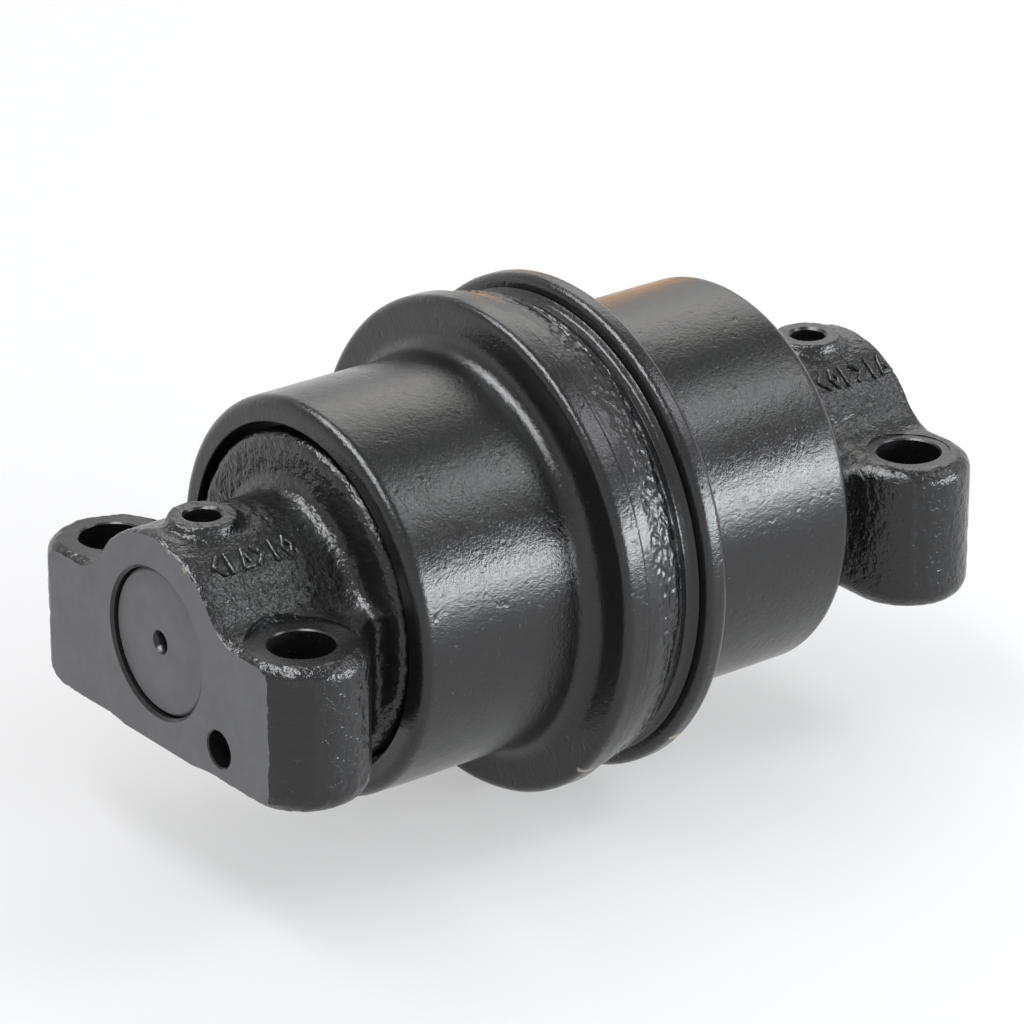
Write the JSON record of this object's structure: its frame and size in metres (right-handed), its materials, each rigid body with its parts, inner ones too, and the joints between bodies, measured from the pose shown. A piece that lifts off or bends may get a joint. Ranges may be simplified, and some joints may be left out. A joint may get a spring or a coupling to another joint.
{
  "type": "track roller",
  "caption": "Bottom track roller with two flanges, spinning on a fixed shaft between two cast collars with vertical bolt ears; sealed for oil.",
  "frame": {"origin": "centre of the roller, on the shaft's axis midway between the two collars", "axes": "+Y along the shaft towards the rear collar, +Z away from the collars' mounting pads, +X to the right seen from the front end, which has the oil plug"},
  "size_m": [0.172, 0.294, 0.172],
  "materials": {
    "shell_paint": "semi-gloss black paint over forged and turned steel",
    "casting_paint": "semi-gloss black paint over rough cast iron, satin where machined",
    "weld_paint": "semi-gloss black paint over a rough weld",
    "shaft_face_paint": "satin black paint on the shaft's ends, ground steel inside",
    "bronze": "turned bronze",
    "seal_iron": "lapped hard iron",
    "seal_rubber": "matte black rubber",
    "pin_steel": "dark painted steel"
  },
  "bodies": {
    "frame_side": {"shaft": "shaft_face_paint", "collar_front": "casting_paint", "collar_rear": "casting_paint", "lock_pin_front": "pin_steel", "lock_pin_rear": "pin_steel", "oil_plug": "pin_steel", "shaft_o_ring_front": "seal_rubber", "shaft_o_ring_rear": "seal_rubber", "seal_ring_fixed_front": "seal_iron", "seal_ring_fixed_rear": "seal_iron", "seal_rubber_fixed_front": "seal_rubber", "seal_rubber_fixed_rear": "seal_rubber"},
    "roller": {"shell_half_front": "shell_paint", "shell_half_rear": "shell_paint", "centre_weld": "weld_paint", "bushing_front": "bronze", "bushing_rear": "bronze", "seal_ring_turning_front": "seal_iron", "seal_ring_turning_rear": "seal_iron", "seal_rubber_turning_front": "seal_rubber", "seal_rubber_turning_rear": "seal_rubber"}
  },
  "joints": [
    {"name": "roller_spin", "type": "hinge", "parent": "frame_side", "child": "roller", "pos_m": [0, 0, 0], "axis": [0, 1, 0], "continuous": true}
  ]
}
